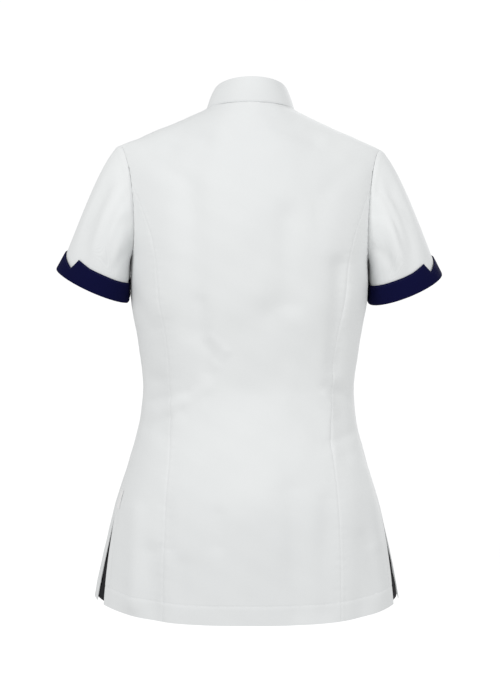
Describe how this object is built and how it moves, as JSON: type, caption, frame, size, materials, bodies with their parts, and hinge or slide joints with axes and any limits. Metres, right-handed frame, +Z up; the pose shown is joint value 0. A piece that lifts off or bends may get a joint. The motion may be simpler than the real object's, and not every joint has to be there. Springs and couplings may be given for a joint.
{
  "type": "medical tunic",
  "caption": "Short-sleeved fitted medical tunic, worn shape, with stand collar, notched contrast cuffs, back princess seams and side vents.",
  "frame": {"origin": "between the shoulders, at the height of the sides of the neck, where the wearer's neck and shoulders carry the tunic", "axes": "+Z up, the wearer faces -Y, +X to the wearer's left"},
  "size_m": [0.5351, 0.2742, 0.7264],
  "materials": {
    "white_cloth": "matt plain weave",
    "navy_cloth": "matt plain weave",
    "dark_cloth": "matt plain weave",
    "label_cloth": "smooth woven tape",
    "press_stud": "satin"
  },
  "bodies": {
    "root": {"back_centre": "white_cloth", "side_back_left": "white_cloth", "side_back_right": "white_cloth", "front_left": "white_cloth", "front_right": "white_cloth", "sleeve_left": "white_cloth", "sleeve_right": "white_cloth", "cuff_left": "navy_cloth", "cuff_right": "navy_cloth", "collar": "white_cloth", "front_placket": "white_cloth", "press_stud_1": "press_stud", "press_stud_2": "press_stud", "press_stud_3": "press_stud", "press_stud_4": "press_stud", "press_stud_5": "press_stud", "press_stud_6": "press_stud", "press_stud_7": "press_stud", "vent_insert_left": "dark_cloth", "vent_insert_right": "dark_cloth", "side_label": "label_cloth"}
  },
  "joints": []
}
